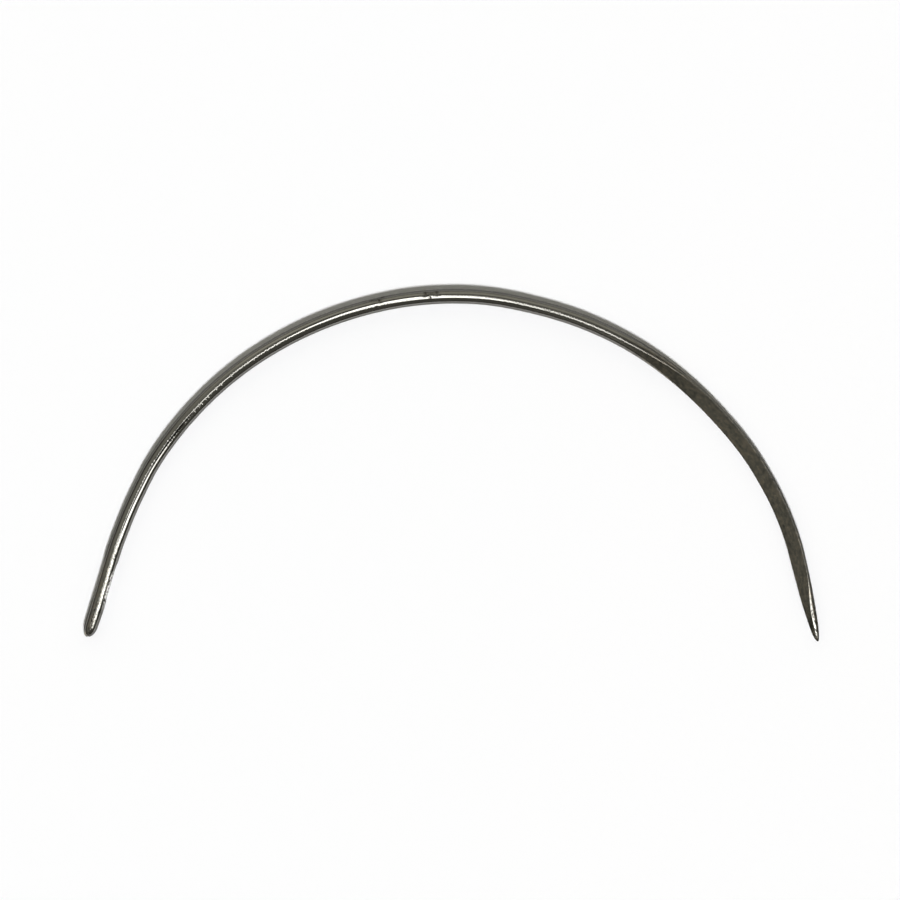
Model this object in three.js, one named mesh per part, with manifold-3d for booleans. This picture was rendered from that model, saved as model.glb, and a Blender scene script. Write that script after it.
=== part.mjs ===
// Half-circle needle for heavy sewing, made from one length of steel wire: a straight eye end,
// a round shank bent to an arc, and a flat-sided blade that runs out of the shank to a point.
// Millimetres. It lies flat with +Z up, its chord along X, its point towards +X and its bow
// towards +Y. The origin is on the resting surface, under the middle of the needle's box.
import * as THREE from 'three';
import { mergeVertices } from 'three/addons/utils/BufferGeometryUtils.js';
import Module from 'manifold-3d';

// Wire and bend
const WIRE_DIAMETER = 2.03; // 14 gauge
const NEEDLE_LENGTH = 152.4; // 6 inches round the curve, butt to tip
const STRAIGHT_END_LENGTH = 12.5; // the eye end, which the bend leaves straight
const BEND_RADIUS = 49.6; // to the wire's centre line

// Butt and eye, which passes through the wire in the plane of the bend
const BUTT_DOME_LENGTH = 1.05;
const BUTT_SKEW = 0.24; // how far the end of the dome lies outwards of the wire's middle
const EYE_CENTRE_FROM_BUTT = 8.2;
const EYE_LENGTH = 5.6;
const EYE_WIDTH = 0.9;
const HOLLOW_LENGTH = 7.0; // ground across the inner side, round the eye
const HOLLOW_DEPTH = 0.12;
const GUTTER_LENGTH = 8.8; // thread groove along the outer side
const GUTTER_DEPTH = 0.34;
const GUTTER_WIDTH = 1.0;

// Blade: two flats that meet in a cutting edge inside the bend, and the wire's round back outside
const BLADE_LENGTH = 53; // to the tip, with the run-out
const BLADE_RUN_OUT = 15.5; // round to flat-sided
const BLADE_HEIGHT = 2.2; // cutting edge to back
const BLADE_WIDTH = 1.45; // across its two ridges, where the flats meet the back
const CUTTING_EDGE_RADIUS = 0.08;
const RIDGE_RADIUS = 0.12;

// Point: the back runs on to the tip, and the cutting edge sweeps up to meet it
const POINT_LENGTH = 13.9;
const BEVEL_LENGTH = 9.8; // the two ridges are ground off towards the tip
const BEVEL_FULL_LENGTH = 2.8; // nearer the tip the bevels are at their full share
const BEVEL_SHARE = 0.47; // of the blade's height
const BEVEL_TILT = THREE.MathUtils.degToRad(6); // from the plane of the bend
const TIP_ROUND_LENGTH = 1.0;
const TIP_ROUND_DROP = 0.16; // how far the back curves in at the tip

// Facets
const BACK_FAN_POINTS = 4;
const SHOULDER_FAN_POINTS = 3;
const RIDGE_FAN_POINTS = 3;
const EDGE_FAN_POINTS = 6;
const DOME_RINGS = 6;
const SHANK_RING_STEP = 2.2;
const RUN_OUT_RINGS = 12;
const BLADE_RING_STEP = 2.0;
const POINT_RINGS = 20;
const WHEEL_SEGMENTS = 160;
const RIM_SEGMENTS = 8;

const WIRE_RADIUS = WIRE_DIAMETER / 2;
const BLADE_START = NEEDLE_LENGTH - BLADE_LENGTH;
const BLADE_FULL = BLADE_START + BLADE_RUN_OUT;
const POINT_START = NEEDLE_LENGTH - POINT_LENGTH;
const CUTTER_REACH = 2 * WIRE_DIAMETER;
const STEEL = { color: 0x7d7b74, metalness: 1, roughness: 0.32 };

const ROUND = {
  height: WIRE_DIAMETER,
  ridgeHeight: 0, // of the middle of the ridge's curve
  ridgeRadius: WIRE_RADIUS,
  edgeRadius: WIRE_RADIUS,
};
const FLAT_SIDED = {
  height: BLADE_HEIGHT,
  ridgeHeight: BLADE_WIDTH / 2 - RIDGE_RADIUS,
  ridgeRadius: RIDGE_RADIUS,
  edgeRadius: CUTTING_EDGE_RADIUS,
};

// Which way the section faces, measured from outwards, where its round back ends and on its flats
const BACK_FACING = Math.asin(FLAT_SIDED.ridgeHeight / (WIRE_RADIUS - RIDGE_RADIUS));
const BEVEL_FACING = Math.PI / 2 - BEVEL_TILT;
const FLAT_FACING = flatFacing(FLAT_SIDED);

/** The direction that faces square off the flat between a section's ridge and its cutting edge. */
function flatFacing({ height, ridgeHeight, ridgeRadius, edgeRadius }) {
  const ridgeOut = (WIRE_RADIUS - ridgeRadius) * Math.cos(BACK_FACING);
  const across = ridgeOut - (WIRE_RADIUS - height + edgeRadius);
  const lean = Math.asin((ridgeRadius - edgeRadius) / Math.hypot(across, ridgeHeight));
  return Math.PI / 2 + Math.atan2(ridgeHeight, across) + lean;
}

/** Rises from 0 to 1 as a quarter of an ellipse does, and stays at 1. */
function quarterEllipse(share) {
  const left = 1 - THREE.MathUtils.clamp(share, 0, 1);
  return Math.sqrt(1 - left * left);
}

/** A point on the wire's centre line, a distance from the butt, and the direction out of the bend there. */
function pathAt(distance) {
  const turned = Math.max(0, distance - STRAIGHT_END_LENGTH) / BEND_RADIUS;
  const outward = new THREE.Vector3(Math.sin(turned), Math.cos(turned), 0);
  const point = new THREE.Vector3(Math.min(distance, STRAIGHT_END_LENGTH), -BEND_RADIUS, 0);
  return { outward, point: point.addScaledVector(outward, BEND_RADIUS) };
}

/** A section's sizes, all made larger or smaller alike. */
function scaled(sizes, factor) {
  return Object.fromEntries(Object.entries(sizes).map(([name, size]) => [name, size * factor]));
}

/** The sizes of the section a distance from the butt: round, flat-sided or between the two. */
function sizesAt(distance) {
  const flattened = THREE.MathUtils.smoothstep(distance, BLADE_START, BLADE_FULL);
  const sizes = { back: WIRE_RADIUS, bevel: 0 };
  for (const name of Object.keys(ROUND)) {
    sizes[name] = THREE.MathUtils.lerp(ROUND[name], FLAT_SIDED[name], flattened);
  }
  return sizes;
}

/** The sizes of the domed butt: the round wire, drawn in, and skewed a little outwards. */
function buttSizesAt(distance) {
  const drawnIn = quarterEllipse(distance / BUTT_DOME_LENGTH);
  const sizes = scaled(sizesAt(distance), drawnIn);
  return { ...sizes, back: sizes.back + BUTT_SKEW * (1 - drawnIn) };
}

/** The sizes of the point: the blade's section, drawn in to its back and ground to two bevels there. */
function pointSizesAt(distance) {
  const full = sizesAt(distance);
  const left = NEEDLE_LENGTH - distance;
  const rounded = quarterEllipse(left / TIP_ROUND_LENGTH);
  const sweep = (full.height - TIP_ROUND_DROP) * quarterEllipse(left / POINT_LENGTH);
  const height = TIP_ROUND_DROP * rounded + sweep;
  const ground = 1 - THREE.MathUtils.smoothstep(left, BEVEL_FULL_LENGTH, BEVEL_LENGTH);
  return {
    ...scaled(full, height / full.height),
    back: full.back - TIP_ROUND_DROP * (1 - rounded),
    bevel: BEVEL_SHARE * height * ground,
  };
}

/** Points round a corner of radius r, one at the middle of each equal step of facing between two limits. */
function cornerFan(centre, radius, from, to, count) {
  return Array.from({ length: count }, (_, i) => {
    const facing = from + ((to - from) * (i + 0.5)) / count;
    const reach = new THREE.Vector2(Math.cos(facing), Math.sin(facing));
    return reach.multiplyScalar(radius).add(centre);
  });
}

/** A section's outline: round back, shoulder, ridge and cutting edge above, and the same mirrored below. */
function outline({ back, height, ridgeHeight, ridgeRadius, edgeRadius, bevel }) {
  const shoulderHeight = Math.max(0, ridgeHeight - bevel * Math.tan(BEVEL_TILT));
  const shoulderOut = shoulderHeight / Math.tan(BACK_FACING);
  const backRadius = shoulderHeight / Math.sin(BACK_FACING) + ridgeRadius;
  const round = new THREE.Vector2(back - backRadius, 0);
  const shoulder = new THREE.Vector2(round.x + shoulderOut, shoulderHeight);
  const ridge = new THREE.Vector2(shoulder.x - bevel, ridgeHeight);
  const edge = new THREE.Vector2(back - height + edgeRadius, 0);
  const upper = [
    ...cornerFan(round, backRadius, 0, BACK_FACING, BACK_FAN_POINTS),
    ...cornerFan(shoulder, ridgeRadius, BACK_FACING, BEVEL_FACING, SHOULDER_FAN_POINTS),
    ...cornerFan(ridge, ridgeRadius, BEVEL_FACING, FLAT_FACING, RIDGE_FAN_POINTS),
    ...cornerFan(edge, edgeRadius, FLAT_FACING, Math.PI, EDGE_FAN_POINTS),
  ];
  const lower = upper.map(({ x, y }) => new THREE.Vector2(x, -y)).reverse();
  return [...upper, ...lower];
}

/** A closed solid through one outline at each distance, ended by the first and last points. */
function loft(distances, sizes, first, last) {
  const rings = distances.map((distance) => {
    const { point, outward } = pathAt(distance);
    return outline(sizes(distance)).map(({ x, y }) =>
      point.clone().addScaledVector(outward, x).setZ(y),
    );
  });
  const around = rings[0].length;
  const points = [...rings.flat(), first, last];
  const [firstIndex, lastIndex] = [points.length - 2, points.length - 1];
  const index = [];
  for (let i = 0; i < around; i += 1) {
    const next = (i + 1) % around;
    index.push(firstIndex, next, i);
    for (let ring = 0; ring < rings.length - 1; ring += 1) {
      const here = ring * around;
      const ahead = here + around;
      index.push(here + i, here + next, ahead + i);
      index.push(here + next, ahead + next, ahead + i);
    }
    const end = (rings.length - 1) * around;
    index.push(lastIndex, end + i, end + next);
  }
  return new THREE.BufferGeometry().setFromPoints(points).setIndex(index);
}

/** Distances from one end of a stretch to the other, in equal steps of about the given length. */
function evenly(from, to, step) {
  const count = Math.max(1, Math.round((to - from) / step));
  return Array.from({ length: count + 1 }, (_, i) => from + ((to - from) * i) / count);
}

/** Distances that crowd towards the rounded end at zero: every ring of a dome but the pole itself. */
function crowding(length, count) {
  return Array.from({ length: count }, (_, i) => {
    const angle = (Math.PI / 2) * ((i + 1) / count);
    return length * (1 - Math.cos(angle));
  });
}

const wasm = await Module();
wasm.setup();

/** A solid for cutting, from a closed geometry. */
function toSolid(geometry) {
  const bare = geometry.clone();
  bare.deleteAttribute('normal');
  bare.deleteAttribute('uv');
  const merged = mergeVertices(bare);
  const corners = merged.index.array;
  const triVerts = [];
  for (let i = 0; i < corners.length; i += 3) {
    const [a, b, c] = corners.slice(i, i + 3);
    if (a !== b && b !== c && c !== a) {
      triVerts.push(a, b, c);
    }
  }
  const vertProperties = merged.attributes.position.array;
  const mesh = new wasm.Mesh({ numProp: 3, vertProperties, triVerts: Uint32Array.from(triVerts) });
  return new wasm.Manifold(mesh);
}

/** The geometry of a cut solid. */
function toGeometry(solid) {
  const { vertProperties, triVerts } = solid.getMesh();
  const geometry = new THREE.BufferGeometry();
  geometry.setAttribute('position', new THREE.BufferAttribute(vertProperties, 3));
  return geometry.setIndex(new THREE.BufferAttribute(triVerts, 1));
}

/** The radius of the wheel that sinks a hollow of this length and depth. */
function wheelRadius(length, depth) {
  return (length * length) / (8 * depth) + depth / 2;
}

/** The eye: a slot with round ends, through the wire from the inner side to the outer. */
function eyeSlot() {
  const half = (EYE_LENGTH - EYE_WIDTH) / 2;
  const slot = new THREE.Shape();
  slot.absarc(half, 0, EYE_WIDTH / 2, -Math.PI / 2, Math.PI / 2);
  slot.absarc(-half, 0, EYE_WIDTH / 2, Math.PI / 2, (3 * Math.PI) / 2);
  const cutter = new THREE.ExtrudeGeometry(slot, {
    depth: CUTTER_REACH,
    bevelEnabled: false,
    curveSegments: RIM_SEGMENTS,
  });
  cutter.translate(0, 0, -CUTTER_REACH / 2);
  cutter.rotateX(Math.PI / 2);
  return cutter.translate(EYE_CENTRE_FROM_BUTT, 0, 0);
}

/** The hollow ground across the inner side of the wire, so that the eye's mouth is wide. */
function innerHollow() {
  const radius = wheelRadius(HOLLOW_LENGTH, HOLLOW_DEPTH);
  const wheel = new THREE.CylinderGeometry(radius, radius, CUTTER_REACH, WHEEL_SEGMENTS);
  wheel.rotateX(Math.PI / 2);
  return wheel.translate(EYE_CENTRE_FROM_BUTT, HOLLOW_DEPTH - WIRE_RADIUS - radius, 0);
}

/** The thread groove along the outer side of the wire, past both ends of the eye. */
function outerGutter() {
  const radius = wheelRadius(GUTTER_LENGTH, GUTTER_DEPTH);
  const half = GUTTER_WIDTH / 2;
  const rim = new THREE.Path();
  rim.moveTo(0, -half);
  rim.lineTo(radius - half, -half);
  rim.absarc(radius - half, 0, half, -Math.PI / 2, Math.PI / 2);
  rim.lineTo(0, half);
  const wheel = new THREE.LatheGeometry(rim.getPoints(RIM_SEGMENTS), WHEEL_SEGMENTS);
  wheel.rotateX(Math.PI / 2);
  return wheel.translate(EYE_CENTRE_FROM_BUTT, WIRE_RADIUS - GUTTER_DEPTH + radius, 0);
}

/** The straight end: domed butt, eye, hollow and gutter. */
function eyeEnd() {
  const { point: centre, outward } = pathAt(0);
  const butt = centre.addScaledVector(outward, BUTT_SKEW);
  const seam = pathAt(STRAIGHT_END_LENGTH).point;
  const rings = [...crowding(BUTT_DOME_LENGTH, DOME_RINGS), STRAIGHT_END_LENGTH];
  const blank = toSolid(loft(rings, buttSizesAt, butt, seam));
  const cutters = [eyeSlot(), innerHollow(), outerGutter()].map(toSolid);
  return toGeometry(cutters.reduce((solid, cutter) => solid.subtract(cutter), blank));
}

/** The round wire, bent to its arc. */
function shank() {
  const rings = evenly(STRAIGHT_END_LENGTH, BLADE_START, SHANK_RING_STEP);
  return loft(rings, sizesAt, pathAt(STRAIGHT_END_LENGTH).point, pathAt(BLADE_START).point);
}

/** The blade: its run-out from the round, its flat-sided length and its point. */
function blade() {
  const runOut = evenly(BLADE_START, BLADE_FULL, BLADE_RUN_OUT / RUN_OUT_RINGS);
  const flatSided = evenly(BLADE_FULL, POINT_START, BLADE_RING_STEP).slice(1, -1);
  const point = crowding(POINT_LENGTH, POINT_RINGS).map((left) => NEEDLE_LENGTH - left);
  const { point: centre, outward } = pathAt(NEEDLE_LENGTH);
  const tip = centre.addScaledVector(outward, WIRE_RADIUS - TIP_ROUND_DROP);
  const rings = [...runOut, ...flatSided, ...point.reverse()];
  const sizes = (distance) => (distance < POINT_START ? sizesAt(distance) : pointSizesAt(distance));
  return loft(rings, sizes, pathAt(BLADE_START).point, tip);
}

/** A named mesh of the needle's steel. */
function steelMesh(name, geometry) {
  const mesh = new THREE.Mesh(geometry, new THREE.MeshStandardMaterial(STEEL));
  mesh.name = name;
  return mesh;
}

const lying = new THREE.Group();
lying.add(steelMesh('eye_end', eyeEnd()));
lying.add(steelMesh('shank', shank()));
lying.add(steelMesh('blade', blade()));

// Turn the chord from butt to tip along X, then stand the box's bottom middle on the origin
const { point: tipEnd } = pathAt(NEEDLE_LENGTH);
lying.rotation.z = -Math.atan2(tipEnd.y, tipEnd.x);
const needle = new THREE.Group();
needle.add(lying);
const box = new THREE.Box3().setFromObject(needle, true);
const middle = box.getCenter(new THREE.Vector3());
lying.position.set(-middle.x, -middle.y, -box.min.z);

export default needle;
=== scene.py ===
"""A half-circle hand needle of drawn steel wire, lying on a pale floor and seen from straight above.

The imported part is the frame. One fine mesh stands for its three nodes, because the needle is one piece
of steel. The mesh follows the part's own sizes and adds what years of use leave on the wire.
"""

import logging
import math
from dataclasses import dataclass, field, replace
from enum import Enum
from typing import Any

import bpy
import numpy as np
from mathutils import Matrix, Vector


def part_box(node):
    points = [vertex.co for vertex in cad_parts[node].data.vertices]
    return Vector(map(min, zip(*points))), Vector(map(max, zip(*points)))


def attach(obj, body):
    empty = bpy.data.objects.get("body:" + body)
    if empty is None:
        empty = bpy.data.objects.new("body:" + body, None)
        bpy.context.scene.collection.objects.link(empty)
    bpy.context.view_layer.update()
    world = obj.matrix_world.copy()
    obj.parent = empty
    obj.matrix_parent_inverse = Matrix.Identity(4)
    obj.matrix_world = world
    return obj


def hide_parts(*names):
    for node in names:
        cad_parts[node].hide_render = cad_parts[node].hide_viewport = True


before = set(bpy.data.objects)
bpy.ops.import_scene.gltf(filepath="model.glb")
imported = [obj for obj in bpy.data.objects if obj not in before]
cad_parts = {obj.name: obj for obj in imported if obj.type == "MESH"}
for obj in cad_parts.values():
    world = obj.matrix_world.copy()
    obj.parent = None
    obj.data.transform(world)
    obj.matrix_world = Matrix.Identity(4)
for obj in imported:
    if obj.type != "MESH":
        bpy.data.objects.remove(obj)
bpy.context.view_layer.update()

MM = 0.001
PLACE_DIGITS = 6
NEARLY_ZERO = 1e-9
MIX_UNDER = 6
MIX_OVER = 7
MIX_RESULT = 2
UNBENT = "unbent"
# The attribute holds the nicks' soot and painted shade.
GRIME_AND_SHADE = "grime_and_shade"

Array = np.ndarray
Colour = tuple[float, float, float]
Sizes = tuple[float, float, float]
Span = tuple[float, float]
log = logging.getLogger("needle")


class CadNode(str, Enum):
    """The part's nodes, in order from the butt to the tip."""

    EYE_END = "eye_end"
    SHANK = "shank"
    BLADE = "blade"


class Blend(str, Enum):
    """How one colour is laid over another."""

    COVER = "MIX"
    DARKEN = "MULTIPLY"


class Row(Enum):
    """A row of a section's points, and whether the faces that start at it look the other way."""

    UPPER = ("upper", False)
    LOWER = ("lower", True)
    UPPER_WALL = ("upper wall", False)
    LOWER_WALL = ("lower wall", True)

    @property
    def flipped(self) -> bool:
        """Whether this row's faces look the other way."""
        return self.value[1]


def linked(name: str, data: bpy.types.ID) -> bpy.types.Object:
    """Put an object in the scene.

    Args:
        name: Its name.
        data: The mesh, lamp or camera that it shows.

    Returns:
        The object.
    """
    made = bpy.data.objects.new(name, data)
    bpy.context.scene.collection.objects.link(made)
    return made


def smoothstep(values: Array, low: float, high: float) -> Array:
    """Rise smoothly from 0 at low to 1 at high.

    Args:
        values: Where to read the rise.
        low: The value at which it leaves 0.
        high: The value at which it reaches 1.

    Returns:
        The height of the rise at each value.
    """
    share = np.clip((values - low) / (high - low), 0.0, 1.0)
    return share * share * (3.0 - 2.0 * share)


def quarter_ellipse(share: Array) -> Array:
    """Rise from 0 to 1 as a quarter of an ellipse does, and stay at 1."""
    left = 1.0 - np.clip(share, 0.0, 1.0)
    return np.sqrt(1.0 - left * left)


def evenly(low: float, high: float, step: float) -> Array:
    """Places from one end of a stretch to the other, in equal steps of about the given length."""
    return np.linspace(low, high, max(1, round((high - low) / step)) + 1)


def crowding(length: float, count: int) -> Array:
    """Places along a stretch that crowd towards a rounded end at zero, without the end itself."""
    return length * (1.0 - np.cos(np.linspace(0.0, math.pi / 2, count + 1)[1:]))


def lengths_along(points: Array) -> Array:
    """How far each point of a line lies from its first, measured along the line."""
    steps = np.hypot(*np.diff(points, axis=0).T)
    return np.concatenate([[0.0], np.cumsum(steps)])


def respaced(points: Array, places: Array, count: int) -> Array:
    """Read a line again at equal steps of the given measure.

    Args:
        points: The line, one row for each point.
        places: A rising measure of where each point lies.
        count: How many steps the new line has.

    Returns:
        The new line, with one point more than steps.
    """
    wanted = np.linspace(places[0], places[-1], count + 1)
    return np.column_stack([np.interp(wanted, places, column) for column in points.T])


def softened(loop: Array, reach: float) -> Array:
    """Round the corners of a closed line whose points are evenly spaced.

    Args:
        loop: The closed line, without its first point again at the end.
        reach: How far along the line each point is drawn to its neighbours.

    Returns:
        The rounded line, with as many points.
    """
    spacing = lengths_along(np.vstack([loop, loop[:1]]))[-1] / len(loop)
    waves = np.fft.fftfreq(len(loop), spacing)
    kept = np.exp(-0.5 * (2.0 * math.pi * waves * reach) ** 2)
    smooth = np.fft.ifft(np.fft.fft(loop[:, 0] + 1j * loop[:, 1]) * kept)
    return np.column_stack([smooth.real, smooth.imag])


@dataclass(frozen=True)
class Sway:
    """A stretch where the wire leaves its true arc a little, in millimetres."""

    start: float
    stop: float
    ease: float
    out: float

    def out_at(self, along: Array) -> Array:
        """How far outwards the wire is pushed at distances from the butt."""
        leaving = smoothstep(along, self.start - self.ease, self.start + self.ease)
        return self.out * (leaving - smoothstep(along, self.stop - self.ease, self.stop + self.ease))


@dataclass(frozen=True)
class BentWire:
    """The wire's centre line, a straight end and an arc bent by hand, in millimetres."""

    diameter: float = 2.03
    length: float = 152.4
    straight_end: float = 12.5
    bend_radius: float = 49.6
    sways: tuple[Sway, ...] = (
        Sway(start=-6.0, stop=22.5, ease=6.0, out=-0.06),
        Sway(start=13.7, stop=23.5, ease=2.6, out=-0.12),
        Sway(start=47.0, stop=66.0, ease=5.0, out=-0.05),
        Sway(start=83.5, stop=121.5, ease=5.0, out=-0.21),
        Sway(start=130.0, stop=138.5, ease=3.0, out=0.06),
        Sway(start=141.0, stop=147.5, ease=2.5, out=-0.1),
        Sway(start=149.5, stop=156.0, ease=2.5, out=0.11),
    )

    @property
    def radius(self) -> float:
        """Half the wire's thickness."""
        return self.diameter / 2

    def bend(self, unbent: Array) -> Array:
        """Lay points of the straight wire on the bent one.

        Args:
            unbent: One row for each point: along from the butt, out of the bend, and up.

        Returns:
            The points with the butt at the origin and the straight end along X.
        """
        along, out, up = unbent.T
        turned = np.maximum(0.0, along - self.straight_end) / self.bend_radius
        reach = self.bend_radius + out + sum(sway.out_at(along) for sway in self.sways)
        x = np.minimum(along, self.straight_end) + reach * np.sin(turned)
        return np.column_stack([x, reach * np.cos(turned) - self.bend_radius, up])

    def lay(self, unbent: Array) -> Array:
        """Bend points of the straight wire, with the chord from butt to tip along X.

        Args:
            unbent: One row for each point: along from the butt, out of the bend, and up.

        Returns:
            The points with the butt at the origin.
        """
        tip = self.bend(np.array([[self.length, 0.0, 0.0]]))[0]
        turn = Matrix.Rotation(-math.atan2(tip[1], tip[0]), 3, "Z")
        return self.bend(unbent) @ np.array(turn).T


@dataclass(frozen=True)
class Nick:
    """A small dent in the wire, in millimetres and degrees round it from outwards."""

    along: float
    facing: float
    length: float
    spread: float
    depth: float
    blackness: float
    slant: float = 0.0

    def share_at(self, along: Array, facing: Array) -> Array:
        """How far places on the wire belong to the dent.

        Args:
            along: How far they lie from the butt.
            facing: Where they lie round the wire.

        Returns:
            Their share in the dent, from 0 to 1.
        """
        round_it = (facing - self.facing) / self.spread
        down_it = (along - self.along - self.slant * round_it) / self.length
        return np.exp(-round_it * round_it - down_it * down_it)


@dataclass(frozen=True)
class Ripple:
    """A faint wave along the wire, whose pace and twist are millimetres and degrees for each radian."""

    pace: float
    lead: float = 0.0
    twist: float = math.inf

    def at(self, along: Array, facing: Array) -> Array:
        """The wave's height at places on the wire, from -1 to 1."""
        return np.sin(along / self.pace + self.lead + facing / self.twist)


@dataclass(frozen=True)
class EyeEnd:
    """The straight end of the wire: butt, eye, hollow and thread gutter, in millimetres."""

    dome_length: float = 1.6
    dome_rings: int = 24
    dome_offset: float = 0.2
    slim_length: float = 4.2
    slim_share: float = 0.2
    notch_reach: float = 1.1
    notch_depth: float = 0.12
    notch_width: float = 0.11
    notch_out: float = 0.02
    eye_centre: float = 8.2
    eye_length: float = 5.6
    eye_width: float = 0.9
    hollow_length: float = 7.0
    hollow_depth: float = 0.05
    gutter_length: float = 8.8
    gutter_depth: float = 0.34
    gutter_width: float = 1.0
    rim_softness: float = 0.045
    worn_start: float = 5.2
    worn_stop: float = 9.8
    worn_depth: float = 0.036
    worn_fade: float = 1.0
    worn_facing: float = math.radians(140)
    ring_step: float = 0.14
    mouth_rings: int = 9
    wall_points: int = 14
    drawn_points: int = 720

    @property
    def eye_start(self) -> float:
        """Where the eye begins, from the butt."""
        return self.eye_centre - self.eye_length / 2

    @property
    def eye_stop(self) -> float:
        """Where the eye ends, from the butt."""
        return self.eye_centre + self.eye_length / 2

    def stations(self, stop: float) -> Array:
        """Where the sections of this end lie.

        Args:
            stop: The last section's distance from the butt.

        Returns:
            Rising distances from the butt.
        """
        mouth = crowding(self.eye_width / 2, self.mouth_rings)
        return np.unique(np.round(np.concatenate([
            crowding(self.dome_length, self.dome_rings),
            evenly(self.dome_length, self.eye_start, self.ring_step),
            self.eye_start + mouth,
            evenly(self.eye_start + mouth[-1], self.eye_stop - mouth[-1], self.ring_step),
            self.eye_stop - mouth,
            evenly(self.eye_stop, stop, self.ring_step),
        ]), PLACE_DIGITS))

    def slot_half_width(self, along: float) -> float:
        """How far the eye reaches above the wire's middle.

        Args:
            along: The distance from the butt.

        Returns:
            Half the eye's width there, and 0 outside it.
        """
        end = self.eye_width / 2
        into = min(along - self.eye_start, self.eye_stop - along)
        return 0.0 if into <= 0.0 else end * float(quarter_ellipse(np.array(into / end)))

    def wheel_cut(self, along: float, length: float, depth: float) -> float:
        """How deep a grinding wheel has cut at a distance from the butt.

        Args:
            along: The distance from the butt.
            length: The length of the cut, which the eye's middle halves.
            depth: Its depth in the middle.

        Returns:
            The depth there, which is negative past the ends of the cut.
        """
        radius = length * length / (8 * depth) + depth / 2
        off = along - self.eye_centre
        return depth - radius + math.sqrt(max(0.0, radius * radius - off * off))

    def section(self, along: float, radius: float) -> Array:
        """The closed outline of the end, as if it had no eye.

        Args:
            along: The distance from the butt.
            radius: The wire's radius.

        Returns:
            Evenly spaced points, out and up, from outwards over the top.
        """
        facing = np.linspace(0.0, 2 * math.pi, 2 * self.drawn_points, endpoint=False)
        drawn_in = float(quarter_ellipse(np.array(along / self.dome_length)))
        slim = 1.0 - self.slim_share * max(0.0, 1.0 - along / self.slim_length)
        out = radius * drawn_in * np.cos(facing)
        out = np.where(out < 0.0, slim * out, out) + self.dome_offset * (1.0 - drawn_in)
        up = radius * drawn_in * np.sin(facing)
        hollow = self.wheel_cut(along, self.hollow_length, self.hollow_depth)
        gutter = self.wheel_cut(along, self.gutter_length, self.gutter_depth)
        if max(hollow, gutter) <= 0.0:
            return np.column_stack([out, up])
        half = self.gutter_width / 2
        floor = radius - gutter + half - np.sqrt(np.maximum(0.0, half * half - up * up))
        in_gutter = (gutter > 0.0) & (np.abs(up) < half) & (out > 0.0)
        out = np.where(in_gutter, np.minimum(out, floor), out)
        out = np.maximum(out, max(0.0, hollow) - radius)
        ground = self.worn_rim(np.column_stack([out, up]), along, radius)
        shut = np.vstack([ground, ground[:1]])
        even = respaced(shut, lengths_along(shut), 2 * self.drawn_points)[:-1]
        return softened(even, self.rim_softness)

    def worn_rim(self, points: Array, along: float, radius: float) -> Array:
        """Flatten the section where the thread has worn the eye's inner rim, above and below.

        Args:
            points: The section's points, out and up.
            along: The distance from the butt.
            radius: The wire's radius.

        Returns:
            The worn points.
        """
        into = min(along - self.worn_start, self.worn_stop - along)
        depth = self.worn_depth * float(smoothstep(np.array(into), 0.0, self.worn_fade))
        side = np.where(points[:, 1] < 0.0, -1.0, 1.0)
        facing = np.column_stack([
            np.full(len(points), math.cos(self.worn_facing)),
            side * math.sin(self.worn_facing),
        ])
        proud = np.maximum(0.0, np.sum(points * facing, axis=1) - (radius - depth))
        return points - proud[:, None] * facing

    def half_outline(self, along: float, radius: float, count: int) -> tuple[Array, Array | None]:
        """The upper half of the end's section.

        Args:
            along: The distance from the butt.
            radius: The wire's radius.
            count: How many steps the outline has.

        Returns:
            The outline from outwards over the top, and the eye's wall back again, if the eye is there.
        """
        loop = self.section(along, radius)
        upper = np.vstack([loop[: self.drawn_points], loop[self.drawn_points]])
        half = self.slot_half_width(along)
        if half <= 0.0:
            across = None
            if along in (round(self.eye_start, PLACE_DIGITS), round(self.eye_stop, PLACE_DIGITS)):
                across = np.linspace(upper[-1], upper[0], self.wall_points + 1)
            return respaced(upper, lengths_along(upper), count), across
        return self.strand(upper, half, count)

    def strand(self, upper: Array, half: float, count: int) -> tuple[Array, Array]:
        """The steel above the eye, with its rims rounded.

        Args:
            upper: The section's upper half as if it had no eye.
            half: Half the eye's width there.
            count: How many steps the outline has.

        Returns:
            The outline from the outer rim over the top to the inner one, and the wall back again.
        """
        top = int(np.argmax(upper[:, 1]))
        outer = np.interp(half, upper[: top + 1, 1], upper[: top + 1, 0])
        inner = np.interp(half, upper[top:, 1][::-1], upper[top:, 0][::-1])
        above = upper[upper[:, 1] > half]
        skin = np.vstack([[outer, half], above, [inner, half]])
        around = lengths_along(skin)
        spacing = around[-1] / self.drawn_points
        wall_steps = max(2, round((outer - inner) / spacing))
        wall = np.linspace(skin[-1], skin[0], wall_steps + 1)
        loop = np.vstack([respaced(skin, around, self.drawn_points), wall[1:-1]])
        reach = self.rim_softness * min(1.0, half / (2 * self.rim_softness))
        soft = softened(loop, reach)
        skin = soft[: self.drawn_points + 1]
        wall = np.vstack([soft[self.drawn_points:], soft[:1]])
        return (
            respaced(skin, lengths_along(skin), count),
            respaced(wall, lengths_along(wall), self.wall_points),
        )


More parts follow.
